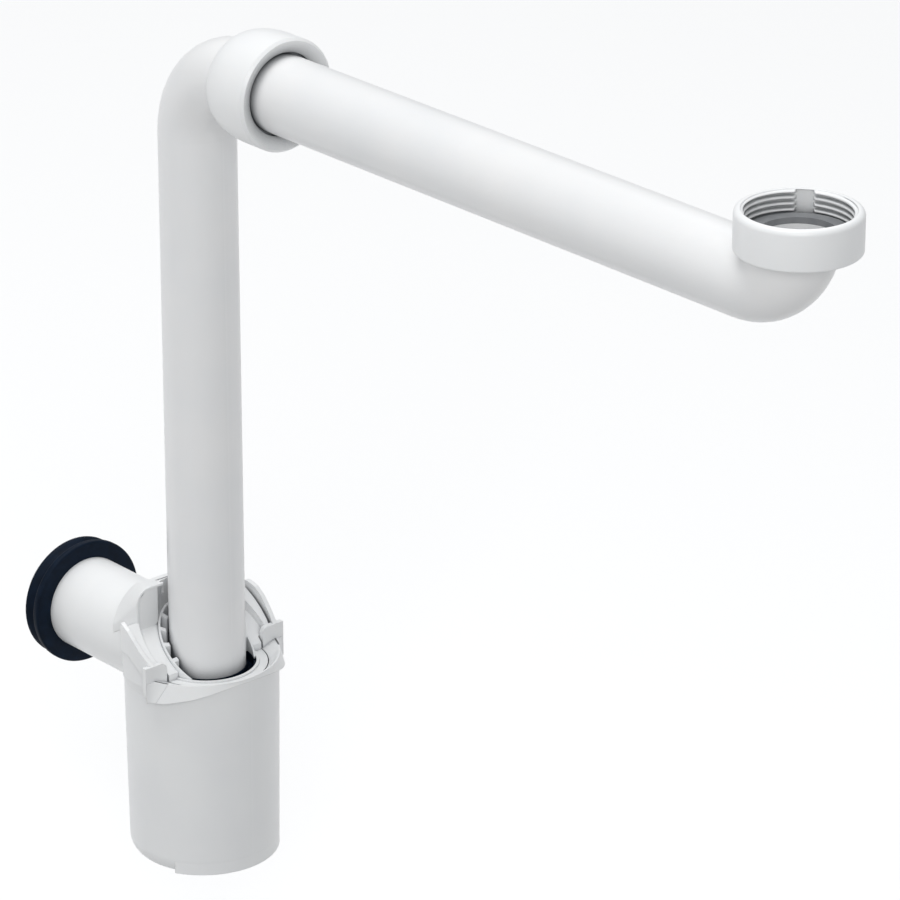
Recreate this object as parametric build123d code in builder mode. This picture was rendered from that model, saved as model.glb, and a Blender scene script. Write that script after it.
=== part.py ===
from build123d import *
import os
from math import cos, radians, sin, tan

# A space saving sink trap. +X points from the wall to the room, +Z is up. The origin is the
# centre of the rubber collar's room side face, on the axis of the wall outlet. Millimetres.

# Pipes
pipe_od = 32.0
pipe_wall = 1.8
outlet_od = 40.0
outlet_wall = 2.0

# Where the axes are
wall_to_tube = 82.3
arm_height = 265.6
reach = 341.5
cup_offset = 4.2

# Bends, to the pipe's axis
tube_bend = 30.0
arm_bend = 25.0

# Clearances
running_gap = 0.06
loose_gap = 0.3
cup_gap = 0.4
collar_gap = 1.1
seal_gap = 0.05

# Union threads, as smooth walls at their crests
thread_minor_r = 19.48
thread_outer_r = 20.6

# Socket at the top of the dip tube, lengths from the bend's end
socket_flare = 4.0
socket_length = 18.5
socket_step = 3.5

# Elbow nut
elbow_nut_wall = 2.3
elbow_nut_start = 3.2
elbow_nut_lip = 2.6
elbow_nut_hole = 17.0
elbow_nut_round = 4.0
elbow_seal_length = 5.4
slip_ring_length = 1.4
slip_ring_clear = 1.3

# Basin union nut
basin_nut_r = 23.4
basin_nut_height = 15.7
basin_nut_lip = 2.2
basin_nut_round = 2.2
basin_nut_shoulder = 0.7
lead_in = 1.1
undercut = 0.5
relief_width = 7.4
relief_depth = 0.9
relief_angle = 130.0
flange_r = 18.9
flange_height = 2.2
washer_height = 2.4

# Cup
cup_r = 32.7
cup_wall = 2.2
cup_floor = 2.6
cup_bottom = -86.6
cup_shelf = -0.5
flare_height = 6.0
cup_draft = 0.7
cup_round = 8.0
foot_bottom = -85.0
foot_height = 9.0
foot_back = 10.6
land_top = -24.0
land_height = 10.5
cutout_back = -18.0

# Collar round the cup's mouth, its circle lying a little behind the cup's axis
collar_offset = 6.1
collar_r = 35.2
collar_wall = 2.0
collar_proud = 0.8
collar_back = -14.8
band_top = 3.4
band_splay = 14.0
band_height = 8.8
collar_top = ((-13.2, 23.6), (-9.2, 22.0), (-5.5, 19.3), (-1.9, 15.8), (5.2, 9.7))
collar_step = ((5.2, 1.0), (0.9, 4.2), (-8.7, 11.2))
band_edge = ((29.4, 2.4), (24.4, -0.6), (20.3, -2.4), (11.3, -5.0), (8.0, -5.4))

# Grip tabs
tab_outer = 36.6
tab_inner = 25.6
tab_top = 10.1
tab_bottom = -5.4
tab_face = 5.2
tab_plate = 2.4
tab_round = 4.5
tab_corner = 3.0

# Trap head: its sloping panels cross the tube's axis at these heights
head_slope = 0.72
panel_height = 7.6
panel_front = 5.3
ridge_height = 11.5
ridge_inner = 28.7
deck_z = 0.9
rim_height = 0.7
rim_width = 1.3
head_bore = 20.4
head_wall = 2.2
skirt_r = 25.2
skirt_bottom = -34.0
skirt_bore = 21.4
chamber_r = 23.0
chamber_floor = -23.0
sleeve_floor = -5.0
sleeve_wall = 1.8
sleeve_top = 20.0

# Hood over the outlet's root, half widths and heights at its front and back
hood_front = -14.0
hood_back = -28.0
hood_front_foot = 21.0
hood_back_foot = 12.7
hood_front_corners = ((26.2, 30.0), (19.5, 36.0))
hood_back_corners = ((27.6, 15.8), (14.5, 31.5))
hood_round = 2.6
hood_border = 1.2
hood_inset = 1.0
slot_width = 1.8
slot_length = 20.0
slot_floor = 28.5
slot_pitch = 3.6
slot_x = -21.5

# Guide ring
guide_wall = 0.9
guide_bottom = 0.6
guide_height = 9.0
guide_front = 0.9
fin_count = 5
fin_pitch = 20.0
fin_first = 85.0
fin_width = 1.5
fin_tip = 17.0

# Seals
tube_seal_height = 5.2
lip_depth = 3.4
lip_width = 1.1
ring_section = 2.6
ring_groove = 3.0
ring_height = -29.2

# Rubber wall collar
rubber_r = 27.3
rubber_depth = 10.8
rubber_flange = 3.2
rubber_lip = 2.4
rubber_land_r = 25.3
rubber_slope = 0.8
spigot_past = 16.7

# Dip tube
tube_end = -71.0

# Worked out
pipe_r = pipe_od / 2
pipe_bore_r = pipe_r - pipe_wall
outlet_r = outlet_od / 2
outlet_bore_r = outlet_r - outlet_wall
tube_x = wall_to_tube
cup_x = tube_x - cup_offset
collar_x = tube_x - collar_offset
basin_x = tube_x + reach
socket_start = tube_x + tube_bend
socket_end = socket_start + socket_length
socket_bore = pipe_r + running_gap
socket_seat = 2 * (thread_outer_r - socket_bore) / 3
socket_stop = socket_start + socket_flare
seal_start = socket_end - socket_seat + loose_gap
seal_end = seal_start + elbow_seal_length
nut_start = socket_start + elbow_nut_start
nut_end = seal_end + slip_ring_length + loose_gap + elbow_nut_lip
elbow_nut_length = nut_end - nut_start
elbow_nut_bore = thread_outer_r + loose_gap
elbow_nut_r = elbow_nut_bore + elbow_nut_wall
slip_ring_r = elbow_nut_bore - slip_ring_clear
arm_start = socket_stop + loose_gap
neck_bottom = arm_height + pipe_r + loose_gap
basin_nut_bottom = neck_bottom + loose_gap
flange_bottom = basin_nut_bottom + basin_nut_lip + loose_gap
flange_top = flange_bottom + flange_height
thread_bottom = flange_top + washer_height
cup_bore = cup_r - cup_wall
pocket_r = collar_r - collar_wall
head_r = pocket_r - collar_gap
far = 60.0
land_bore = skirt_r + cup_gap
ring_seat = land_bore - seal_gap - ring_section
guide_level = (guide_height - guide_front - guide_bottom) / head_slope
tab_rear = tab_face - tab_plate
head_front = tab_rear - loose_gap
crest_r = collar_r - 2 * collar_proud
front_half = ((tab_rear, -far), (far, -far), (far, far), (tab_rear, far))
behind_collar = ((collar_back, -far), (far, -far), (far, far), (collar_back, far))
collar_inside = ((collar_back, collar_top[0][1]), *collar_top, (tab_face, band_top), (far, band_top),
                 (far, cup_shelf), (collar_back, cup_shelf))
collar_side = ((collar_back, collar_top[0][1]), *collar_top, *collar_step,
               (collar_back, collar_step[-1][1]))
panel_side = ((hood_front, panel_height - head_slope * hood_front),
              (panel_front, panel_height - head_slope * panel_front), (panel_front, deck_z))
band_side = ((tab_rear, band_top), (far, band_top), (far, band_edge[0][1]), *band_edge,
             (tab_rear, tab_bottom))

os.makedirs("parts", exist_ok=True)


def finish(piece, label):
    """Name a finished piece and write it."""
    piece.part.label = label
    export_step(piece.part, "parts/" + label + ".step")


def radius_at(height):
    """Radius of the drafted cup wall's outside at one height."""
    return cup_r - (band_top - height) * tan(radians(cup_draft))


def side_slab(points, outer=far):
    """A solid with the given outline seen from the side, to one half width on both sides."""
    with BuildPart() as slab:
        with BuildSketch(Plane.XZ):
            with Locations((tube_x, 0)):
                Polygon(*points, align=None)
        extrude(amount=outer, both=True)
    return slab.part


def above_slope(height, front):
    """Everything above a plane that falls towards the room, in front of the hood."""
    return side_slab((
        (front, height - head_slope * front),
        (hood_front, height - head_slope * hood_front),
        (hood_front, far),
        (front, far),
    ))


def arm_run(radius, overrun=0.0):
    """The arm at one radius: straight run, bend, and the upright neck with its tight inner corner."""
    start = arm_start - overrun
    corner = arm_height + radius + loose_gap / 2
    with BuildPart() as run:
        with BuildLine(Plane.XZ) as path:
            Line((start, arm_height), (basin_x - arm_bend, arm_height))
            JernArc((basin_x - arm_bend, arm_height), (1, 0), arm_bend, 90)
        with BuildSketch(Plane((start, 0, arm_height), x_dir=(0, 1, 0), z_dir=(1, 0, 0))):
            Circle(radius)
        sweep(path=path.line)
        with BuildSketch(Plane.XY.offset(corner)):
            with Locations((basin_x, 0)):
                Circle(3 * arm_bend)
        extrude(amount=arm_bend, mode=Mode.SUBTRACT)
        with BuildSketch(Plane.XY.offset(corner)):
            with Locations((basin_x, 0)):
                Circle(radius)
        extrude(amount=flange_top + overrun - corner)
    return run.part


def tube_run(radius, overrun=0.0):
    """The dip tube at one radius: upright run and the bend to the socket."""
    foot = tube_end - overrun
    with BuildPart() as run:
        with BuildLine(Plane.XZ) as path:
            Line((tube_x, foot), (tube_x, arm_height - tube_bend))
            JernArc((tube_x, arm_height - tube_bend), (0, 1), tube_bend, -90)
            Line((socket_start, arm_height), (socket_start + socket_flare + overrun, arm_height))
        with BuildSketch(Plane.XY.offset(foot)):
            with Locations((tube_x, 0)):
                Circle(radius)
        sweep(path=path.line)
    return run.part


# Basin union nut
with BuildPart() as basin_union_nut:
    with BuildSketch(Plane.XY.offset(basin_nut_bottom)):
        with Locations((basin_x, 0)):
            Circle(basin_nut_r)
    extrude(amount=basin_nut_height)
    fillet(basin_union_nut.edges().filter_by(GeomType.CIRCLE).sort_by(Axis.Z)[-1], basin_nut_round)
    fillet(basin_union_nut.edges().filter_by(GeomType.CIRCLE).sort_by(Axis.Z)[0], basin_nut_shoulder)
    with BuildSketch(Plane.XY.offset(basin_nut_bottom)):
        with Locations((basin_x, 0)):
            Circle(pipe_r + loose_gap)
    extrude(amount=basin_nut_height, mode=Mode.SUBTRACT)
    with BuildSketch(Plane.XY.offset(basin_nut_bottom + basin_nut_lip)):
        with Locations((basin_x, 0)):
            Circle(thread_minor_r)
    extrude(amount=basin_nut_height, mode=Mode.SUBTRACT)
    with BuildSketch(Plane.XY.offset(basin_nut_bottom + basin_nut_lip)):
        with Locations((basin_x, 0)):
            Circle(thread_minor_r + undercut)
    extrude(amount=thread_bottom - basin_nut_bottom - basin_nut_lip, mode=Mode.SUBTRACT)
    mouth = basin_union_nut.edges().filter_by(GeomType.CIRCLE).group_by(Axis.Z)[-1]
    chamfer(mouth.sort_by(SortBy.RADIUS)[0], lead_in)
    with BuildSketch(Plane.XY.offset(thread_bottom)):
        with Locations((basin_x, 0)):
            with PolarLocations(thread_minor_r, 3, start_angle=relief_angle):
                Rectangle(2 * relief_depth, relief_width)
    extrude(amount=basin_nut_height, mode=Mode.SUBTRACT)
finish(basin_union_nut, "basin_union_nut")

# Basin washer, flat on the arm's flange
with BuildPart() as basin_washer:
    with BuildSketch(Plane.XY.offset(flange_top)):
        with Locations((basin_x, 0)):
            Circle(flange_r)
            Circle(pipe_bore_r, mode=Mode.SUBTRACT)
    extrude(amount=washer_height)
finish(basin_washer, "basin_washer")

# Inlet arm
with BuildPart() as inlet_arm:
    add(arm_run(pipe_r))
    with BuildSketch(Plane.XY.offset(flange_bottom)):
        with Locations((basin_x, 0)):
            Circle(flange_r)
    extrude(amount=flange_height)
    add(arm_run(pipe_bore_r, overrun=1.0), mode=Mode.SUBTRACT)
    spigot_rim = inlet_arm.edges().filter_by(GeomType.CIRCLE).group_by(Axis.X)[0]
    chamfer(spigot_rim.sort_by(SortBy.RADIUS)[-1], pipe_wall / 3)
finish(inlet_arm, "inlet_arm")

# Dip tube with its bend and compression socket
with BuildPart() as dip_tube:
    add(tube_run(pipe_r))
    with BuildSketch(Plane.XZ):
        with BuildLine():
            Polyline(
                (socket_start, arm_height),
                (socket_start, arm_height + pipe_r),
                (socket_start + socket_step, arm_height + thread_outer_r),
                (socket_end, arm_height + thread_outer_r),
                (socket_end, arm_height),
                close=True,
            )
        make_face()
    revolve(axis=Axis((0, 0, arm_height), (1, 0, 0)))
    add(tube_run(pipe_bore_r, overrun=1.0), mode=Mode.SUBTRACT)
    with BuildSketch(Plane((socket_stop, 0, arm_height), x_dir=(0, 1, 0), z_dir=(1, 0, 0))):
        Circle(socket_bore)
    extrude(amount=socket_length, mode=Mode.SUBTRACT)
    socket_mouth = dip_tube.edges().filter_by(GeomType.CIRCLE).group_by(Axis.X)[-1]
    chamfer(socket_mouth.sort_by(SortBy.RADIUS)[0], socket_seat)
    foot_rim = dip_tube.edges().filter_by(GeomType.CIRCLE).group_by(Axis.Z)[0]
    chamfer(foot_rim.sort_by(SortBy.RADIUS)[-1], pipe_wall / 3)
finish(dip_tube, "dip_tube")

# Elbow nut
nut_plane = Plane((nut_start, 0, arm_height), x_dir=(0, 1, 0), z_dir=(1, 0, 0))
with BuildPart() as elbow_nut:
    with BuildSketch(nut_plane):
        Circle(elbow_nut_r)
    extrude(amount=elbow_nut_length)
    nut_rims = elbow_nut.edges().filter_by(GeomType.CIRCLE).sort_by(Axis.X)
    fillet(nut_rims[0], elbow_nut_round)
    chamfer(elbow_nut.edges().filter_by(GeomType.CIRCLE).sort_by(Axis.X)[-1], running_gap * 10)
    with BuildSketch(nut_plane):
        Circle(elbow_nut_bore)
    extrude(amount=elbow_nut_length - elbow_nut_lip, mode=Mode.SUBTRACT)
    with BuildSketch(nut_plane):
        Circle(elbow_nut_hole)
    extrude(amount=elbow_nut_length, mode=Mode.SUBTRACT)
finish(elbow_nut, "elbow_nut")

# Elbow seal, a wedge in the socket's mouth, and the slip ring in front of it
with BuildPart() as elbow_seal:
    with BuildSketch(Plane.XZ):
        with BuildLine():
            Polyline(
                (seal_start, arm_height + pipe_r + seal_gap),
                (seal_start, arm_height + socket_bore + loose_gap),
                (seal_end - elbow_seal_length / 3, arm_height + slip_ring_r - loose_gap),
                (seal_end, arm_height + slip_ring_r - loose_gap),
                (seal_end, arm_height + pipe_r + seal_gap),
                close=True,
            )
        make_face()
    revolve(axis=Axis((0, 0, arm_height), (1, 0, 0)))
finish(elbow_seal, "elbow_seal")

with BuildPart() as elbow_slip_ring:
    with BuildSketch(Plane((seal_end, 0, arm_height), x_dir=(0, 1, 0), z_dir=(1, 0, 0))):
        Circle(slip_ring_r)
        Circle(pipe_r + seal_gap, mode=Mode.SUBTRACT)
    extrude(amount=slip_ring_length)
finish(elbow_slip_ring, "elbow_slip_ring")

# Trap head: skirt, sloping panels, hood and wall outlet in one moulding
head_top = (
    (head_front, -far),
    (head_front, ridge_height - head_slope * head_front),
    (hood_front, ridge_height - head_slope * hood_front),
    (hood_back, hood_back_foot + loose_gap),
    (-far, hood_back_foot + loose_gap),
    (-far, far),
    (far, far),
    (far, -far),
)
hollow_top = (
    (head_front - head_wall, deck_z - head_wall),
    (hood_front, panel_height - head_wall - head_slope * hood_front),
    (hood_back, hood_back_foot - 2 * head_wall),
    (-far, hood_back_foot - 2 * head_wall),
    (-far, -far),
    (head_front - head_wall, -far),
)


def hood_profile(x, corners, foot, border=0.0):
    """The hood's outline at one distance from the tube, or the outline that far inside it."""
    shoulder, crown = corners
    with BuildSketch(Plane((tube_x + x, 0, 0), x_dir=(0, 1, 0), z_dir=(1, 0, 0))) as outline:
        with BuildSketch(mode=Mode.PRIVATE) as flat:
            Polygon(
                (-shoulder[0], foot),
                (shoulder[0], foot),
                shoulder,
                crown,
                (-crown[0], crown[1]),
                (-shoulder[0], shoulder[1]),
                align=None,
            )
            fillet(flat.vertices().filter_by_position(Axis.Y, foot, far, (False, True)), hood_round)
            if border > 0:
                offset(amount=-border, mode=Mode.REPLACE)
        add(flat.sketch)
    return outline.sketch


with BuildPart() as trap_head:
    with BuildSketch(Plane.XY.offset(cup_shelf + loose_gap)):
        with Locations((collar_x, 0)):
            Circle(head_r)
    extrude(amount=far)
    add(side_slab(head_top), mode=Mode.SUBTRACT)
    # Hollow under the deck, outside the skirt
    with BuildSketch(Plane.XY.offset(cup_shelf + loose_gap)):
        with Locations((collar_x, 0)):
            Circle(head_r - head_wall)
    under_deck = extrude(amount=far, mode=Mode.PRIVATE)
    add(under_deck.intersect(side_slab(hollow_top)), mode=Mode.SUBTRACT)
    with BuildSketch(Plane.XY.offset(skirt_bottom)):
        with Locations((tube_x, 0)):
            Circle(skirt_r)
    extrude(amount=panel_height + head_slope * skirt_r - skirt_bottom)
    add(side_slab(((hood_front, far), *panel_side, (far, deck_z), (far, far)), outer=skirt_r),
        mode=Mode.SUBTRACT)
    loft([
        hood_profile(hood_back, hood_back_corners, hood_back_foot).face(),
        hood_profile(hood_front, hood_front_corners, hood_front_foot).face(),
    ])
    # Wall outlet
    with BuildSketch(Plane((-spigot_past, 0, 0), x_dir=(0, 1, 0), z_dir=(1, 0, 0))):
        Circle(outlet_r)
    extrude(amount=tube_x + spigot_past - chamber_r)
    # Water chamber and its way out
    with BuildSketch(Plane.XY.offset(chamber_floor)):
        with Locations((tube_x, 0)):
            Circle(chamber_r)
    extrude(amount=deck_z - head_wall - chamber_floor, mode=Mode.SUBTRACT)
    with BuildSketch(Plane.XY.offset(skirt_bottom)):
        with Locations((tube_x, 0)):
            Circle(skirt_bore)
    extrude(amount=chamber_floor - skirt_bottom, mode=Mode.SUBTRACT)
    with BuildSketch(Plane((-spigot_past, 0, 0), x_dir=(0, 1, 0), z_dir=(1, 0, 0))):
        Circle(outlet_bore_r)
    extrude(amount=tube_x + spigot_past, mode=Mode.SUBTRACT)
    # Sleeve that holds the tube's seal
    with BuildSketch(Plane.XY.offset(sleeve_floor - sleeve_wall)):
        with Locations((tube_x, 0)):
            Circle(head_bore + sleeve_wall)
    extrude(amount=sleeve_top - sleeve_floor + sleeve_wall)
    # Sloping panel inside its round border, the level deck in front, and its rim
    with BuildSketch(Plane.XY):
        with Locations((tube_x, 0)):
            Circle(ridge_inner)
    in_border = extrude(amount=far, mode=Mode.PRIVATE)
    add(in_border.intersect(above_slope(panel_height, panel_front)), mode=Mode.SUBTRACT)
    with BuildSketch(Plane.XY.offset(deck_z)):
        with Locations((tube_x + panel_front + far / 2, 0)):
            Rectangle(far, 2 * far)
    extrude(amount=far, mode=Mode.SUBTRACT)
    with BuildSketch(Plane.XY.offset(deck_z)):
        with Locations((tube_x, 0)):
            Circle(head_bore + rim_width)
        with Locations((tube_x - far / 2 + panel_front, 0)):
            Rectangle(far, 2 * far, mode=Mode.SUBTRACT)
    extrude(amount=rim_height)
    # Panel sunk in the hood's front, inside its arch
    with BuildSketch(Plane((tube_x + hood_front, 0, 0), x_dir=(0, 1, 0), z_dir=(1, 0, 0))):
        add(hood_profile(hood_front, hood_front_corners, hood_front_foot, hood_border))
    extrude(amount=-hood_inset, mode=Mode.SUBTRACT)
    # Bores for the seal, the ring and the tube
    with BuildSketch(Plane.XY.offset(sleeve_floor)):
        with Locations((tube_x, 0)):
            Circle(head_bore)
    extrude(amount=far, mode=Mode.SUBTRACT)
    with BuildSketch(Plane.XY.offset(sleeve_floor - sleeve_wall)):
        with Locations((tube_x, 0)):
            Circle(pipe_r + loose_gap)
    extrude(amount=sleeve_wall, mode=Mode.SUBTRACT)
    # Groove for the cup's seal
    with BuildSketch(Plane.XY.offset(ring_height)):
        with Locations((tube_x, 0)):
            Circle(skirt_r + loose_gap)
            Circle(ring_seat, mode=Mode.SUBTRACT)
    extrude(amount=ring_groove, mode=Mode.SUBTRACT)
    # Two slots across the top of the hood
    with BuildSketch(Plane.XY.offset(far)):
        with Locations((tube_x + slot_x, 0), (tube_x + slot_x + slot_pitch, 0)):
            SlotOverall(slot_length, slot_width, rotation=90)
    extrude(amount=-(far - slot_floor), mode=Mode.SUBTRACT)
finish(trap_head, "trap_head")

# Cup seal in the skirt's groove
with BuildPart() as cup_seal:
    with BuildSketch(Plane.XZ):
        with Locations((tube_x + ring_seat + ring_section / 2, ring_height + ring_groove / 2)):
            Circle(ring_section / 2)
    revolve(axis=Axis((tube_x, 0, 0), (0, 0, 1)))
finish(cup_seal, "cup_seal")

# Lip seal round the dip tube
with BuildPart() as dip_tube_seal:
    with BuildSketch(Plane.XZ):
        with Locations((tube_x, sleeve_floor)):
            Polygon(
                (pipe_r + seal_gap, running_gap),
                (head_bore - running_gap, running_gap),
                (head_bore - running_gap, tube_seal_height),
                (head_bore - lip_width, tube_seal_height),
                (head_bore - lip_width, tube_seal_height - lip_depth),
                (pipe_r + lip_width, tube_seal_height - lip_depth),
                (pipe_r + seal_gap + lip_width / 3, tube_seal_height),
                (pipe_r + seal_gap, tube_seal_height),
                align=None,
            )
    revolve(axis=Axis((tube_x, 0, 0), (0, 0, 1)))
finish(dip_tube_seal, "dip_tube_seal")

# Guide ring: a thin ring cut off at the slope of the panels, with fins towards the tube
with BuildPart() as guide_ring:
    with BuildSketch(Plane.XY.offset(guide_bottom)):
        with Locations((tube_x, 0)):
            Circle(head_bore - running_gap)
            Circle(head_bore - running_gap - guide_wall, mode=Mode.SUBTRACT)
    extrude(amount=far)
    with BuildSketch(Plane.XY.offset(guide_bottom)):
        with Locations((tube_x, 0)):
            for first in (fin_first, 360 - fin_first - (fin_count - 1) * fin_pitch):
                with PolarLocations((fin_tip + head_bore - guide_wall / 2) / 2, fin_count, first,
                                    (fin_count - 1) * fin_pitch, endpoint=True):
                    Rectangle(head_bore - guide_wall / 2 - fin_tip, fin_width)
    extrude(amount=far)
    add(side_slab((
        (guide_level, -far),
        (guide_level, guide_front + guide_bottom),
        (-far, guide_height + head_slope * far),
        (-far, 2 * far),
        (far, 2 * far),
        (far, -far),
    )), mode=Mode.SUBTRACT)
finish(guide_ring, "guide_ring")


def flare(radius):
    """Solid cone from inside the cup's wall up to a circle of one radius at the shelf."""
    with BuildPart() as cone:
        with BuildSketch(Plane.XY.offset(cup_shelf - flare_height)):
            with Locations((cup_x, 0)):
                Circle(radius_at(cup_shelf - flare_height) - loose_gap)
        with BuildSketch(Plane.XY.offset(cup_shelf)):
            with Locations((collar_x, 0)):
                Circle(radius)
        loft()
    return cone.part


# Cup: walls, foot, collar, grip tabs and the cut-out for the outlet in one moulding
with BuildPart() as cup:
    with BuildSketch(Plane.XY.offset(band_top)):
        with Locations((cup_x, 0)):
            Circle(cup_r)
    extrude(amount=cup_bottom - band_top, taper=cup_draft)
    fillet(cup.edges().filter_by(GeomType.CIRCLE).sort_by(Axis.Z)[0], cup_round)
    # Foot at the front
    with BuildSketch(Plane.XY.offset(foot_bottom)):
        with Locations((cup_x, 0)):
            Circle(radius_at(foot_bottom))
            Circle(radius_at(foot_bottom) - cup_wall, mode=Mode.SUBTRACT)
        with Locations((tube_x + foot_back - far, 0)):
            Rectangle(2 * far, 2 * far, mode=Mode.SUBTRACT)
    extrude(amount=foot_height)
    # Flare below the collar, the collar's core and sides, and the band that splays out round it
    add(flare(head_r))
    add(flare(collar_r - collar_proud).intersect(side_slab(behind_collar)))
    with BuildSketch(Plane.XY.offset(cup_shelf)):
        with Locations((collar_x, 0)):
            Circle(collar_r - collar_proud)
    collar_core = extrude(amount=far, mode=Mode.PRIVATE)
    add(collar_core.intersect(side_slab(collar_inside)))
    with BuildSketch(Plane.XY):
        with Locations((collar_x, 0)):
            Circle(collar_r)
    collar_blank = extrude(amount=far, mode=Mode.PRIVATE)
    add(collar_blank.intersect(side_slab(collar_side)))
    with BuildSketch(Plane.XY.offset(band_top)):
        with Locations((collar_x, 0)):
            Circle(collar_r - collar_proud)
    band_cone = extrude(amount=-band_height, taper=-band_splay, mode=Mode.PRIVATE)
    add(band_cone.intersect(side_slab(band_side)))
    with BuildSketch(Plane.XY.offset(cup_shelf)):
        with Locations((collar_x, 0)):
            Circle(pocket_r)
    extrude(amount=far, mode=Mode.SUBTRACT)
    # Inside
    with BuildSketch(Plane.XY.offset(cup_shelf)):
        with Locations((cup_x, 0)):
            Circle(cup_bore)
    extrude(amount=cup_bottom + cup_floor - cup_shelf, taper=cup_draft, mode=Mode.SUBTRACT)
    # Land round the skirt's seal
    with BuildSketch(Plane.XY.offset(land_top - land_height)):
        with Locations((cup_x, 0)):
            Circle(cup_bore + cup_wall / 3)
        with Locations((tube_x, 0)):
            Circle(land_bore, mode=Mode.SUBTRACT)
    extrude(amount=land_height)
    # Shelf round the head's deck at the front, rising to the collar's crest
    with BuildSketch(Plane.XY.offset(cup_shelf - cup_wall)):
        with Locations((collar_x, 0)):
            Circle(pocket_r)
        with Locations((tube_x, 0)):
            Circle(land_bore, mode=Mode.SUBTRACT)
    shelf = extrude(amount=band_top - cup_shelf + cup_wall, mode=Mode.PRIVATE)
    add(shelf.intersect(side_slab(front_half)))
    with BuildPart(mode=Mode.PRIVATE) as funnel:
        with BuildSketch(Plane.XY.offset(deck_z)):
            with Locations((tube_x, 0)):
                Circle(land_bore)
        with BuildSketch(Plane.XY.offset(band_top)):
            with Locations((collar_x, 0)):
                Circle(crest_r)
        loft()
    add(funnel.part.intersect(side_slab(front_half)), mode=Mode.SUBTRACT)
    # Grip tabs, scooped out in front
    with BuildSketch(Plane((tube_x + tab_rear, 0, 0), x_dir=(0, 1, 0), z_dir=(1, 0, 0))):
        with BuildSketch(mode=Mode.PRIVATE) as tab_outline:
            Polygon(
                (tab_inner, tab_top),
                (tab_outer, tab_top),
                (tab_outer, tab_bottom),
                (tab_inner, tab_bottom),
                align=None,
            )
            fillet(tab_outline.vertices().sort_by(Axis.X)[2:].sort_by(Axis.Y)[0], tab_round)
            fillet(tab_outline.vertices().sort_by(Axis.X)[:2].sort_by(Axis.Y)[-1], tab_corner)
        add(tab_outline.sketch)
        mirror(tab_outline.sketch, about=Plane.YZ)
    extrude(amount=tab_plate)
    # Cut-out for the outlet
    with BuildSketch(Plane((0, 0, 0), x_dir=(0, 1, 0), z_dir=(1, 0, 0))):
        Circle(outlet_r + cup_gap)
        with Locations((0, far / 2)):
            Rectangle(2 * (outlet_r + cup_gap), far)
    extrude(amount=tube_x + cutout_back, mode=Mode.SUBTRACT)
finish(cup, "cup")

# Rubber wall collar with two lips
with BuildPart() as rubber_collar:
    with BuildSketch(Plane.XZ):
        Polygon(
            (0, outlet_r + seal_gap),
            (0, rubber_r),
            (-rubber_flange, rubber_r),
            (-rubber_flange - rubber_slope, rubber_land_r),
            (-rubber_depth + rubber_lip + rubber_slope, rubber_land_r),
            (-rubber_depth + rubber_lip, rubber_r),
            (-rubber_depth, rubber_r),
            (-rubber_depth, outlet_r + seal_gap),
            align=None,
        )
    revolve(axis=Axis((0, 0, 0), (1, 0, 0)))
finish(rubber_collar, "rubber_collar")
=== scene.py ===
import math

import bmesh
import bpy
import numpy as np
from mathutils import Euler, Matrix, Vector


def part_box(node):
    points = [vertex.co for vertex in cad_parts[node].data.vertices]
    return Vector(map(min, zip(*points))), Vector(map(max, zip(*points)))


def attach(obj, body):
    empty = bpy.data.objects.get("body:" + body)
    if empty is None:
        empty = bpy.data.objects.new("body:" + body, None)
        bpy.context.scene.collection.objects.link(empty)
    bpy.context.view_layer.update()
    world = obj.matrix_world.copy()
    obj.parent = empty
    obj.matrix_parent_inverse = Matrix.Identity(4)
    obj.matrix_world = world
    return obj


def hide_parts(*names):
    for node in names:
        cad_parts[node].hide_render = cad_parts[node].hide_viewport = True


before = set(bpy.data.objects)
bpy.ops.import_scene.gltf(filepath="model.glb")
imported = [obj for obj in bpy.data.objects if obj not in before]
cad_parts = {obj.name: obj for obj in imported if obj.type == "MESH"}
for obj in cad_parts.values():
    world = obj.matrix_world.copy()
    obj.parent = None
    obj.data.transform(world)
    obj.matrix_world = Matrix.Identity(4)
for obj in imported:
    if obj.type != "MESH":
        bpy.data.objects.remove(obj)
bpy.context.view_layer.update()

# A space saving sink trap: white moulded plastic, black rubber. Metres, in the CAD's frame.

MM = 0.001

# The photograph's viewpoint
CAMERA_AT = Vector((1.648487, -1.227457, 0.936729))
CAMERA_AZIMUTH = 48.994
CAMERA_ELEVATION = 22.911
CAMERA_LENS = 209.84
CAMERA_CLIP = 0.05

# Union thread of the basin nut, G 1 1/4
THREAD_PITCH = 2.309 * MM
THREAD_DEPTH = 1.7 * MM
THREAD_CREST_R = 19.48 * MM
THREAD_SHARPNESS = 2.4
THREAD_ROWS = 84
LEAD_IN = 1.15 * MM
RELIEF_SLOTS = 3
RELIEF_ANGLE = math.radians(130)
RELIEF_WIDTH = 6.4 * MM
RELIEF_DEPTH = 1.9 * MM
RELIEF_EDGE = 0.35 * MM

# The same nut's rim, lip and hole
NUT_TOP_ROUND = 2.2 * MM
NUT_TOP_POINTS = 10
NUT_RIM_ROUND = 0.5 * MM
NUT_RIM_POINTS = 5
NUT_FOOT_ROUND = 0.9 * MM
NUT_LIP = 2.2 * MM
NUT_HOLE_R = 16.3 * MM
NUT_COLUMNS = 360

# Elbow nut, its lengths counted from the front end of the CAD's nut towards the room
ELBOW_FRONT = 2.2 * MM
ELBOW_BEVEL = 1.2 * MM
ELBOW_FACE_DEPTH = 2.6 * MM
ELBOW_HOLE_R = 17.0 * MM
ELBOW_BORE_R = 20.9 * MM
ELBOW_LIP_BACK = -2.6 * MM
ELBOW_STRAIGHT_TO = -9.0 * MM
ELBOW_DOME_LENGTH = 16.5 * MM
ELBOW_DOME_DROP = 5.8 * MM
ELBOW_DOME_END = math.radians(80)
ELBOW_DOME_POINTS = 16
ELBOW_BACK_LIP = 4.0 * MM
ELBOW_COLUMNS = 180

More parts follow.
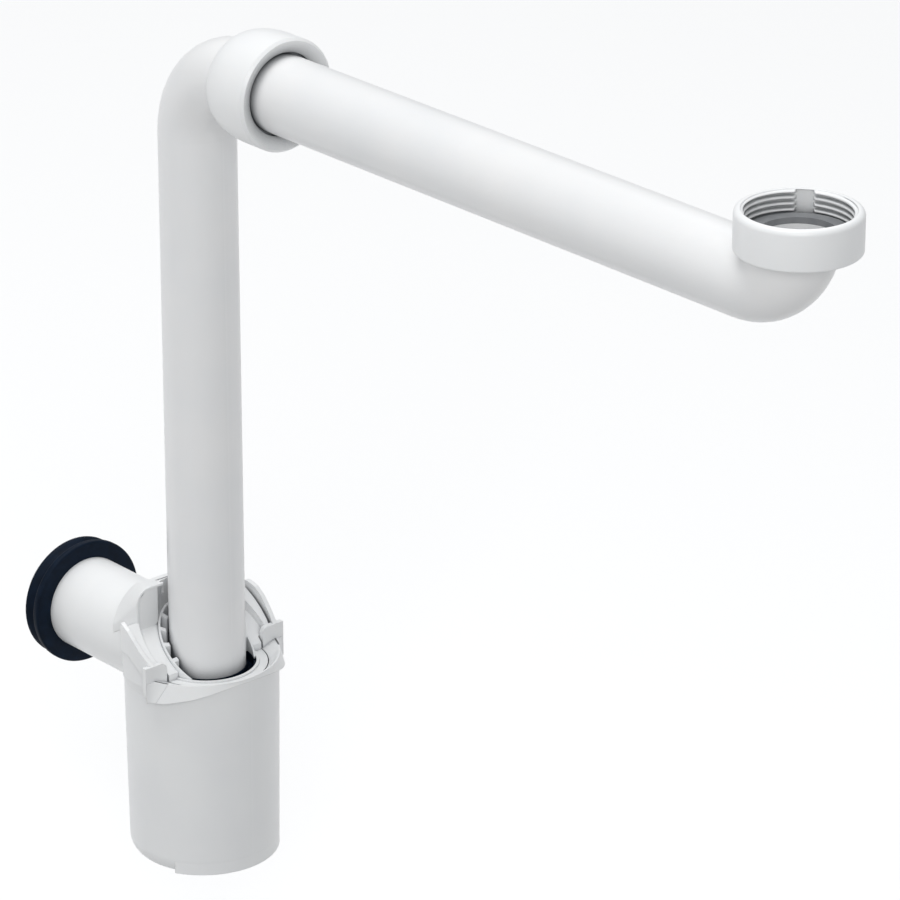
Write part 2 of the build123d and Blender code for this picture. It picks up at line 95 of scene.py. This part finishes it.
# Wall collar, its lengths counted back from its room side face
RUBBER_HOLE_R = 20.05 * MM
RUBBER_FLANGE = 3.2 * MM
RUBBER_EDGE = 0.9 * MM
RUBBER_WAIST_R = 24.6 * MM
RUBBER_WAIST_AT = 5.3 * MM
RUBBER_LIP_R = 26.5 * MM
RUBBER_LIP_AT = 9.2 * MM
RUBBER_WAVE_POINTS = 9
RUBBER_COLUMNS = 144

# Grip tabs and the collar's band, across from the tube's axis
TAB_FACE = 5.2 * MM
TAB_OUTER = 36.6 * MM
TAB_BOTTOM = -5.4 * MM
TAB_ROOT = 4.6 * MM
TAB_ROOT_ON_BAND = 1.6
TAB_TUCK = 1.0 * MM
TAB_ROWS = 24
TAB_CURVE_POINTS = 12
COLLAR_BEHIND_TUBE = 6.1 * MM
COLLAR_TOP = 3.4 * MM
COLLAR_TOP_R = 34.4 * MM
COLLAR_SPLAY = math.radians(14)

# Hood: places across and above from the tube's axis, at its front and its back
HOOD_FRONT = -13.6 * MM
HOOD_BACK = -28.3 * MM
HOOD_HALF = (26.3 * MM, 27.7 * MM)
HOOD_FOOT = (21.0 * MM, 12.7 * MM)
HOOD_TOP = (36.1 * MM, 31.6 * MM)
HOOD_CORNER_WIDE = (6.7 * MM, 13.2 * MM)
HOOD_CORNER_TALL = (6.7 * MM, 15.8 * MM)
HOOD_FULLNESS = (1.0, 0.68)
HOOD_ENDS_AT = 12.0 * MM
HOOD_WALL = 1.3 * MM
HOOD_EDGE = 0.5 * MM
HOOD_STRAIGHT_POINTS = 7
HOOD_CORNER_POINTS = 19
HOOD_DEPTH_STEPS = 8

ROUND_POINTS = 6
SHARP_EDGE = math.radians(34)

# How far the painted shade reaches that greys the plastic in seams, corners and hollows, and over
# which share of open sky it fades out
PAINTED_SHADE_REACH = 4 * MM
WIDE_PAINTED_SHADE_REACH = 14 * MM
PAINTED_SHADE_RANGE = (0.12, 0.62)
PAINTED_SHADE_SAMPLES = 8

# Moulded polypropylene: sizes of its pattern, its skin, and the light that it lets in
FLOW_SIZE = 38 * MM
SHEEN_SIZE = 9 * MM
SKIN_GRAIN = 0.9 * MM
SKIN_STRENGTH = 0.05
SKIN_DEPTH = 0.1 * MM
EDGE_ROUND = 0.4 * MM
EDGE_SAMPLES = 4
PLASTIC_IOR = 1.49
PLASTIC_GLOW = 0.06
GLOW_REACH = (2.2, 2.0, 1.8)

# EPDM rubber: sizes of its bloom and of its grain
BLOOM_SIZE = 6 * MM
RUBBER_GRAIN = 0.5 * MM
RUBBER_GRAIN_STRENGTH = 0.12

# Sockets of a colour mix node
MIX_A = 6
MIX_B = 7
MIX_RESULT = 2

# Floor, white behind the object and pale grey in front of it, to keep light off undersides
FLOOR_DROP = 120 * MM
FLOOR_HALF = 6.0
FLOOR_POINTS = 3
FLOOR_TOWARDS = (0.763, -0.647, 0)
FLOOR_WHITE_TO = -0.1
FLOOR_GREY_FROM = 0.12
FLOOR_ROUGHNESS = 0.9

# Each light's name, direction from the object, distance, diameter and power
LIGHTS_LOOK_AT = Vector((0.2, 0, 0.1))
LIGHTS = (
    ("top", (-0.1, -0.15, 1.0), 6.0, 3.6, 156),
    ("front", (0.695, -0.604, 0.5), 2.8, 1.2, 20.5),
    ("left", (-0.35, -1.0, 0.5), 2.8, 1.6, 6.3),
    ("back", (-0.5, 0.6, 1.0), 6.0, 3.0, 62),
)
STUDIO_COLOUR = "#f4f6f8"
STUDIO_STRENGTH = 0.47

# Places taken from the frame
nut_low, nut_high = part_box("basin_union_nut")
cup_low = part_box("cup")[0]
basin_x = (nut_low.x + nut_high.x) / 2
elbow_low, elbow_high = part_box("elbow_nut")
rubber_low, rubber_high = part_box("rubber_collar")
seal_low, seal_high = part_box("dip_tube_seal")
tube_x = (seal_low.x + seal_high.x) / 2


# Materials

def linear(hex_colour):
    """An sRGB hex colour as linear RGBA."""
    channels = [int(hex_colour[i:i + 2], 16) / 255 for i in (1, 3, 5)]
    return [c / 12.92 if c <= 0.04045 else ((c + 0.055) / 1.055) ** 2.4 for c in channels] + [1.0]


def add_node(tree, kind, inputs=None, **settings):
    """A new node with its settings, and its inputs set to a value or linked to a socket."""
    node = tree.nodes.new(kind)
    for name, value in settings.items():
        setattr(node, name, value)
    for name, value in (inputs or {}).items():
        if isinstance(value, bpy.types.NodeSocket):
            tree.links.new(value, node.inputs[name])
        else:
            node.inputs[name].default_value = value
    return node


def ramp(tree, factor, low, high, start=0.0, end=1.0):
    """A colour ramp between two hex colours."""
    node = add_node(tree, "ShaderNodeValToRGB", {"Fac": factor})
    node.color_ramp.elements[0].position = start
    node.color_ramp.elements[1].position = end
    node.color_ramp.elements[0].color = linear(low)
    node.color_ramp.elements[1].color = linear(high)
    return node.outputs["Color"]


def new_material(name):
    """An empty node material: its tree, its shader and the object's own coordinates."""
    material = bpy.data.materials.new(name)
    material.use_nodes = True
    tree = material.node_tree
    tree.nodes.clear()
    shader = add_node(tree, "ShaderNodeBsdfPrincipled")
    output = add_node(tree, "ShaderNodeOutputMaterial")
    tree.links.new(shader.outputs["BSDF"], output.inputs["Surface"])
    where = add_node(tree, "ShaderNodeTexCoord").outputs["Object"]
    return material, tree, shader, where


def noise(tree, where, size, detail=2.0, roughness=0.5):
    """Noise whose features are about that many metres across."""
    node = add_node(tree, "ShaderNodeTexNoise", {
        "Vector": where,
        "Scale": 1 / size,
        "Detail": detail,
        "Roughness": roughness,
    })
    return node.outputs["Fac"]


def varied(tree, pattern, low, high):
    """A pattern's values from 0 to 1 brought between two others."""
    node = add_node(tree, "ShaderNodeMapRange", {"Value": pattern, "To Min": low, "To Max": high})
    return node.outputs["Result"]


def plastic_with_painted_shade(name, low, high, gloss=0.34, painted_shade_colour="#8b8e93", reach=PAINTED_SHADE_REACH):
    """Injection moulded polypropylene: nearly even colour with painted shade that greys it in the
    seams, corners and hollows, satin gloss that varies a little, and the faint unevenness of a
    moulded skin."""
    material, tree, shader, where = new_material(name)
    flow = noise(tree, where, FLOW_SIZE, detail=3)
    # Painted shade: ambient occlusion darkens the base colour towards the shade colour in seams,
    # corners and hollows
    openness = add_node(tree, "ShaderNodeAmbientOcclusion", {"Distance": reach}, samples=PAINTED_SHADE_SAMPLES)
    base_with_painted_shade = add_node(tree, "ShaderNodeMix", {
        "Factor": 1.0,
        MIX_A: ramp(tree, flow, low, high, 0.3, 0.7),
        MIX_B: ramp(tree, openness.outputs["AO"], painted_shade_colour, "#ffffff", *PAINTED_SHADE_RANGE),
    }, data_type="RGBA", blend_type="MULTIPLY")
    tree.links.new(base_with_painted_shade.outputs[MIX_RESULT], shader.inputs["Base Color"])
    sheen = varied(tree, noise(tree, where, SHEEN_SIZE, detail=4), gloss - 0.04, gloss + 0.06)
    tree.links.new(sheen, shader.inputs["Roughness"])
    rounded = add_node(tree, "ShaderNodeBevel", {"Radius": EDGE_ROUND}, samples=EDGE_SAMPLES)
    skin = add_node(tree, "ShaderNodeBump", {
        "Height": noise(tree, where, SKIN_GRAIN, detail=2),
        "Strength": SKIN_STRENGTH,
        "Distance": SKIN_DEPTH,
        "Normal": rounded.outputs["Normal"],
    })
    tree.links.new(skin.outputs["Normal"], shader.inputs["Normal"])
    shader.inputs["IOR"].default_value = PLASTIC_IOR
    shader.inputs["Subsurface Weight"].default_value = PLASTIC_GLOW
    shader.inputs["Subsurface Radius"].default_value = GLOW_REACH
    shader.inputs["Subsurface Scale"].default_value = MM
    return material


def rubber(name, low, high, shine=0.5):
    """Moulded EPDM: an even colour, dark for the seals and a painted shade grey for the washer, with
    a talc bloom in patches and a matt fine skin.
    """
    material, tree, shader, where = new_material(name)
    bloom = noise(tree, where, BLOOM_SIZE, detail=5, roughness=0.6)
    tree.links.new(ramp(tree, bloom, low, high, 0.35, 0.75), shader.inputs["Base Color"])
    tree.links.new(varied(tree, bloom, 0.44, 0.64), shader.inputs["Roughness"])
    skin = add_node(tree, "ShaderNodeBump", {
        "Height": noise(tree, where, RUBBER_GRAIN, detail=3),
        "Strength": RUBBER_GRAIN_STRENGTH,
        "Distance": SKIN_DEPTH,
    })
    tree.links.new(skin.outputs["Normal"], shader.inputs["Normal"])
    shader.inputs["Specular IOR Level"].default_value = shine
    return material


white = plastic_with_painted_shade("white_polypropylene_painted_shade", "#e9eaeb", "#eeefef")
# Painted shade: the pipes' darker, far-reaching shade colour greys the pipe under and beside the nuts
# as contact shadow
pipe_painted_shade = plastic_with_painted_shade("white_pipe_polypropylene_painted_shade", "#eaebec", "#efefef", gloss=0.3,
                             painted_shade_colour="#6d7176", reach=WIDE_PAINTED_SHADE_REACH)
# Painted light and shade: the nuts' base colour is a lighter copy of the white plastic that stands in
# for the stronger light on their sides, and their dark, far-reaching painted shade darkens the nut's
# interior
nut_painted_light_and_shade = plastic_with_painted_shade("nut_polypropylene_painted_light_and_shade", "#eeeff0", "#f3f4f4",
                            painted_shade_colour="#5c6064", reach=WIDE_PAINTED_SHADE_REACH)
ring_white = plastic_with_painted_shade("guide_ring_polypropylene_painted_shade", "#e6e8e9", "#ecedee", gloss=0.42)
# Painted shade: the washer's mid grey stands in for the shade that falls on it deep inside the basin
# nut
washer_painted_shade_grey = rubber("washer_elastomer_painted_shade", "#808285", "#8c8e90")
black_rubber = rubber("black_epdm", "#03101f", "#0a1b2e", shine=0.12)

PAINT = {
    "inlet_arm": pipe_painted_shade,
    "dip_tube": pipe_painted_shade,
    "trap_head": white,
    "cup": white,
    "elbow_nut": nut_painted_light_and_shade,
    "basin_union_nut": nut_painted_light_and_shade,
    "guide_ring": ring_white,
    "elbow_slip_ring": ring_white,
    "basin_washer": washer_painted_shade_grey,
    "rubber_collar": black_rubber,
    "dip_tube_seal": black_rubber,
    "cup_seal": black_rubber,
    "elbow_seal": black_rubber,
}
for node_name, its_material in PAINT.items():
    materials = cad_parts[node_name].data.materials
    materials.clear()
    materials.append(its_material)


# Pieces

def grid_object(name, points, material, closed_u=False, closed_v=False, capped=False):
    """A mesh from a rows by columns grid of points, joined up where a direction is closed, with its
    first and last rows filled where it is capped, and its faces turned outwards."""
    rows, columns = points.shape[:2]
    index = np.arange(rows * columns).reshape(rows, columns)
    if closed_u:
        index = np.concatenate([index, index[:1]])
    if closed_v:
        index = np.concatenate([index, index[:, :1]], axis=1)
    quads = np.stack([index[:-1, :-1], index[:-1, 1:], index[1:, 1:], index[1:, :-1]], axis=-1)
    faces = quads.reshape(-1, 4).tolist()
    if capped:
        faces += [index[0, -2::-1].tolist(), index[-1, :-1].tolist()]
    mesh = bpy.data.meshes.new(name)
    mesh.from_pydata(points.reshape(-1, 3).tolist(), [], faces)
    shell = bmesh.new()
    shell.from_mesh(mesh)
    if shell.calc_volume(signed=True) < 0:
        mesh.flip_normals()
    shell.free()
    mesh.set_sharp_from_angle(angle=SHARP_EDGE)
    mesh.polygons.foreach_set("use_smooth", [True] * len(mesh.polygons))
    mesh.materials.append(material)
    obj = bpy.data.objects.new(name, mesh)
    bpy.context.scene.collection.objects.link(obj)
    return obj


def arc(centre_a, centre_b, radius, start, end, count=ROUND_POINTS):
    """Points of a round in a section, in the section's own two lengths, between two angles in
    degrees."""
    angles = np.radians(np.linspace(start, end, count))
    return np.stack([centre_a + radius * np.cos(angles), centre_b + radius * np.sin(angles)], axis=-1)


def turned(name, section, start_x, axis_z, material, columns):
    """A closed section, as lengths along X and radii, turned once round an axis along X."""
    around = np.linspace(0, 2 * math.pi, columns, endpoint=False)
    along, out = section[:, :1], section[:, 1:]
    points = np.stack([
        start_x + along + 0 * around,
        out * np.cos(around),
        axis_z + out * np.sin(around),
    ], axis=-1)
    return grid_object(name, points, material, closed_u=True, closed_v=True)


def union_nut():
    """The basin nut with its thread. A section runs round the wall: foot, outside, rim, thread, lip
    and hole. Each of its points goes round the axis at its own radius and height. In the thread the
    radius goes from the crest to the root with the steepened cosine of the turns counted along the
    height less the part of a turn gone round. The relief slots and the mouth's cone cut deeper where
    they reach further out."""
    outer_r = (nut_high.x - nut_low.x) / 2
    height = nut_high.z - nut_low.z
    rim_r = THREAD_CREST_R + LEAD_IN + NUT_RIM_ROUND
    outside = np.concatenate([
        [[NUT_HOLE_R, NUT_LIP], [NUT_HOLE_R, 0.0]],
        arc(outer_r - NUT_FOOT_ROUND, NUT_FOOT_ROUND, NUT_FOOT_ROUND, -90, 0),
        arc(outer_r - NUT_TOP_ROUND, height - NUT_TOP_ROUND, NUT_TOP_ROUND, 0, 90, NUT_TOP_POINTS),
        arc(rim_r, height - NUT_RIM_ROUND, NUT_RIM_ROUND, 90, 180, NUT_RIM_POINTS),
    ])
    around = np.linspace(0, 2 * math.pi, NUT_COLUMNS, endpoint=False)
    thread_z = np.linspace(height - NUT_RIM_ROUND, NUT_LIP, THREAD_ROWS)[1:, None]
    turns = thread_z / THREAD_PITCH - around / (2 * math.pi)
    wave = np.tanh(THREAD_SHARPNESS * np.cos(2 * math.pi * turns)) / math.tanh(THREAD_SHARPNESS)
    thread_r = THREAD_CREST_R + THREAD_DEPTH * (1 - wave) / 2
    spacing = 2 * math.pi / RELIEF_SLOTS
    from_slot = (around - RELIEF_ANGLE + spacing / 2) % spacing - spacing / 2
    beside = (np.abs(from_slot) * THREAD_CREST_R - RELIEF_WIDTH / 2) / RELIEF_EDGE
    slot_r = THREAD_CREST_R + RELIEF_DEPTH * (1 - np.tanh(beside)) / 2
    cone_r = THREAD_CREST_R + thread_z - (height - LEAD_IN)
    thread_r = np.maximum(np.maximum(thread_r, slot_r), cone_r)
    wall_r = np.concatenate([np.repeat(outside[:, :1], NUT_COLUMNS, axis=1), thread_r])
    wall_z = np.concatenate([
        np.repeat(outside[:, 1:], NUT_COLUMNS, axis=1),
        np.repeat(thread_z, NUT_COLUMNS, axis=1),
    ])
    points = np.stack([
        basin_x + wall_r * np.cos(around),
        wall_r * np.sin(around),
        nut_low.z + wall_z,
    ], axis=-1)
    return grid_object("threaded_union_nut", points, nut_painted_light_and_shade, closed_u=True, closed_v=True)


def elbow_nut():
    """The compression nut round the elbow. A section turns round the arm's axis: the face that
    sinks towards the arm, the bevelled rim, the straight wall, a quarter ellipse that falls to the
    back, and the bore with its lips."""
    outer_r = (elbow_high.z - elbow_low.z) / 2
    axis_z = (elbow_high.z + elbow_low.z) / 2
    fall = np.linspace(0, ELBOW_DOME_END, ELBOW_DOME_POINTS)
    dome = np.stack([
        ELBOW_STRAIGHT_TO - ELBOW_DOME_LENGTH * np.sin(fall),
        outer_r - ELBOW_DOME_DROP * (1 - np.cos(fall)),
    ], axis=-1)
    back = dome[-1, 0]
    section = np.concatenate([
        [[ELBOW_FRONT - ELBOW_FACE_DEPTH, ELBOW_HOLE_R]],
        [[ELBOW_FRONT, outer_r - ELBOW_BEVEL]],
        [[ELBOW_FRONT - ELBOW_BEVEL, outer_r]],
        dome,
        [[back, ELBOW_HOLE_R]],
        [[back + ELBOW_BACK_LIP, ELBOW_BORE_R]],
        [[ELBOW_LIP_BACK, ELBOW_BORE_R]],
        [[ELBOW_LIP_BACK, ELBOW_HOLE_R]],
    ])
    return turned("elbow_nut_shell", section, elbow_high.x, axis_z, nut_painted_light_and_shade, ELBOW_COLUMNS)


def wall_collar():
    """The rubber collar. A section turns round the outlet's axis: the flange with its rounds, then
    curves whose radius eases by a cubic of the way gone, down to the waist, up to the rear lip and
    down again, and last the back face and the bore."""
    flange_r = (rubber_high.z - rubber_low.z) / 2
    depth = rubber_high.x - rubber_low.x
    round_r = flange_r - RUBBER_EDGE
    front = arc(-RUBBER_EDGE, round_r, RUBBER_EDGE, 0, 90)
    rear = arc(RUBBER_EDGE - RUBBER_FLANGE, round_r, RUBBER_EDGE, 90, 150)
    stations = np.array([
        rear[-1],
        [-RUBBER_WAIST_AT, RUBBER_WAIST_R],
        [-RUBBER_LIP_AT, RUBBER_LIP_R],
        [RUBBER_EDGE / 2 - depth, RUBBER_WAIST_R],
    ])
    gone = np.linspace(0, 1, RUBBER_WAVE_POINTS)[1:, None]
    eased = gone ** 2 * (3 - 2 * gone)
    waves = []
    for here, there in zip(stations[:-1], stations[1:]):
        along = here[0] + (there[0] - here[0]) * gone
        out = here[1] + (there[1] - here[1]) * eased
        waves.append(np.concatenate([along, out], axis=1))
    back = [
        [-depth, RUBBER_WAIST_R - RUBBER_EDGE],
        [-depth, RUBBER_HOLE_R],
        [0.0, RUBBER_HOLE_R],
    ]
    section = np.concatenate([front, rear, *waves, back])
    return turned("wall_collar", section, rubber_high.x, 0.0, black_rubber, RUBBER_COLUMNS)


def tab_root(side):
    """The round where a grip tab grows out of the band. At each height a section has a hollow curve,
    a parabola from the tab's face to the band's cone, pulled to where the cone's tangent meets the
    face, and is closed inside the corner."""
    ahead = TAB_FACE + COLLAR_BEHIND_TUBE
    sections = []
    for height in np.linspace(TAB_BOTTOM, COLLAR_TOP, TAB_ROWS):
        band_r = COLLAR_TOP_R + (COLLAR_TOP - height) * math.tan(COLLAR_SPLAY)
        corner = np.array([ahead, math.sqrt(band_r ** 2 - ahead ** 2)])
        reach = min(TAB_ROOT, TAB_OUTER - corner[1])
        end_angle = math.atan2(corner[1], corner[0]) - TAB_ROOT_ON_BAND * reach / band_r
        on_tab = corner + [0, reach]
        on_band = band_r * np.array([math.cos(end_angle), math.sin(end_angle)])
        pull = np.array([ahead, (band_r - ahead * math.cos(end_angle)) / math.sin(end_angle)])
        t = np.linspace(0, 1, TAB_CURVE_POINTS)[:, None]
        curve = (1 - t) ** 2 * on_tab + 2 * t * (1 - t) * pull + t ** 2 * on_band
        flat = np.concatenate([curve, [
            on_band - TAB_TUCK / 2,
            corner - TAB_TUCK,
            on_tab - [TAB_TUCK, TAB_TUCK / 2],
        ]])
        sections.append(np.stack([
            tube_x - COLLAR_BEHIND_TUBE + flat[:, 0],
            side * flat[:, 1],
            np.full(len(flat), height),
        ], axis=-1))
    return grid_object(f"tab_root_{'left' if side < 0 else 'right'}", np.array(sections), white,
                       closed_v=True, capped=True)


def hood_outline(end, side):
    """Half of the hood's arch as width and height: straight up from the foot, round the corner, and
    along the top. The corner lies between its chord and a quarter ellipse, by the fullness."""
    half, top = HOOD_HALF[end], HOOD_TOP[end]
    wide, tall = HOOD_CORNER_WIDE[end], HOOD_CORNER_TALL[end]
    upright = np.linspace([half, HOOD_FOOT[end]], [half, top - tall], HOOD_STRAIGHT_POINTS)[:-1]
    turn = np.linspace(0, math.pi / 2, HOOD_CORNER_POINTS)
    ellipse = np.stack([half - wide + wide * np.cos(turn), top - tall + tall * np.sin(turn)], axis=-1)
    chord = np.linspace(ellipse[0], ellipse[-1], HOOD_CORNER_POINTS)
    corner = chord + HOOD_FULLNESS[end] * (ellipse - chord)
    level = np.linspace([half - wide, top], [HOOD_ENDS_AT, top], HOOD_STRAIGHT_POINTS)[1:]
    return np.concatenate([upright, corner, level]) * [side, 1]


def hood_arch(side):
    """The hood's border and cheek on one side. Straight lines join each point of the front outline
    to the same point of the back one. A section across them is a thin wall whose front edge is
    round, and it follows the outline from the foot to the top."""
    front, back = hood_outline(0, side), hood_outline(1, side)
    bend = np.linspace(math.pi / 2, 0, ROUND_POINTS)
    rounded = np.stack([HOOD_EDGE * (1 - np.sin(bend)), HOOD_EDGE * (1 - np.cos(bend))], axis=-1)
    length = HOOD_FRONT - HOOD_BACK
    section = [
        [0, HOOD_WALL],
        *rounded.tolist(),
        *([length * step / HOOD_DEPTH_STEPS, 0] for step in range(1, HOOD_DEPTH_STEPS + 1)),
        [length, HOOD_WALL],
    ]
    rows = []
    for along, sunk in section:
        outline = front + (back - front) * along / length
        tangent = np.gradient(outline, axis=0)
        tangent /= np.linalg.norm(tangent, axis=1, keepdims=True)
        inward = np.stack([-tangent[:, 1], tangent[:, 0]], axis=-1) * side
        moved = outline + inward * sunk
        rows.append(np.stack([
            np.full(len(moved), tube_x + HOOD_FRONT - along),
            moved[:, 0],
            moved[:, 1],
        ], axis=-1))
    points = np.array(rows).transpose(1, 0, 2)
    return grid_object(f"hood_arch_{'left' if side < 0 else 'right'}", points, white,
                       closed_v=True, capped=True)


nut = union_nut()
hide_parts("basin_union_nut")
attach(nut, "basin_nut")
elbow_shell = elbow_nut()
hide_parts("elbow_nut")
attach(elbow_shell, "elbow_nut")
tab_roots = [tab_root(side) for side in (-1, 1)]
for root in tab_roots:
    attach(root, "cup")
hood_arches = [hood_arch(side) for side in (-1, 1)]
for arch in hood_arches:
    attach(arch, "head")
collar_shell = wall_collar()
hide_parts("rubber_collar")
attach(collar_shell, "head")


# Floor, camera and light

floor_material, floor_tree, floor_shader, floor_where = new_material("floor_white")
floor_shader.inputs["Roughness"].default_value = FLOOR_ROUGHNESS
towards = add_node(floor_tree, "ShaderNodeVectorMath", {
    0: floor_where,
    1: FLOOR_TOWARDS,
}, operation="DOT_PRODUCT")
shade = add_node(floor_tree, "ShaderNodeMapRange", {
    "Value": towards.outputs["Value"],
    "From Min": FLOOR_WHITE_TO,
    "From Max": FLOOR_GREY_FROM,
})
floor_colour = ramp(floor_tree, shade.outputs["Result"], "#fdfdfd", "#b4b4b4")
floor_tree.links.new(floor_colour, floor_shader.inputs["Base Color"])
floor_sides = np.linspace(-FLOOR_HALF, FLOOR_HALF, FLOOR_POINTS)
floor_grid = np.stack(np.meshgrid(floor_sides, floor_sides), axis=-1)
floor_heights = np.full((FLOOR_POINTS, FLOOR_POINTS, 1), cup_low.z - FLOOR_DROP)
floor = grid_object("floor", np.concatenate([floor_grid, floor_heights], axis=-1), floor_material)

camera_data = bpy.data.cameras.new("camera")
camera_data.lens = CAMERA_LENS
camera_data.clip_start = CAMERA_CLIP
camera = bpy.data.objects.new("camera", camera_data)
camera.location = CAMERA_AT
camera.rotation_euler = Euler(
    (math.radians(90 - CAMERA_ELEVATION), 0, math.radians(CAMERA_AZIMUTH))
)
bpy.context.scene.collection.objects.link(camera)
bpy.context.scene.camera = camera

for light_name, direction, distance, size, power in LIGHTS:
    lamp = bpy.data.lights.new(light_name, "AREA")
    lamp.shape = "DISK"
    lamp.size = size
    lamp.energy = power
    light = bpy.data.objects.new(light_name, lamp)
    away = Vector(direction).normalized()
    light.location = LIGHTS_LOOK_AT + away * distance
    light.rotation_euler = away.to_track_quat("Z", "Y").to_euler()
    bpy.context.scene.collection.objects.link(light)

world = bpy.data.worlds.new("studio")
bpy.context.scene.world = world
world.use_nodes = True
background = world.node_tree.nodes["Background"]
background.inputs["Color"].default_value = linear(STUDIO_COLOUR)
background.inputs["Strength"].default_value = STUDIO_STRENGTH
bpy.context.scene.view_settings.view_transform = "Standard"
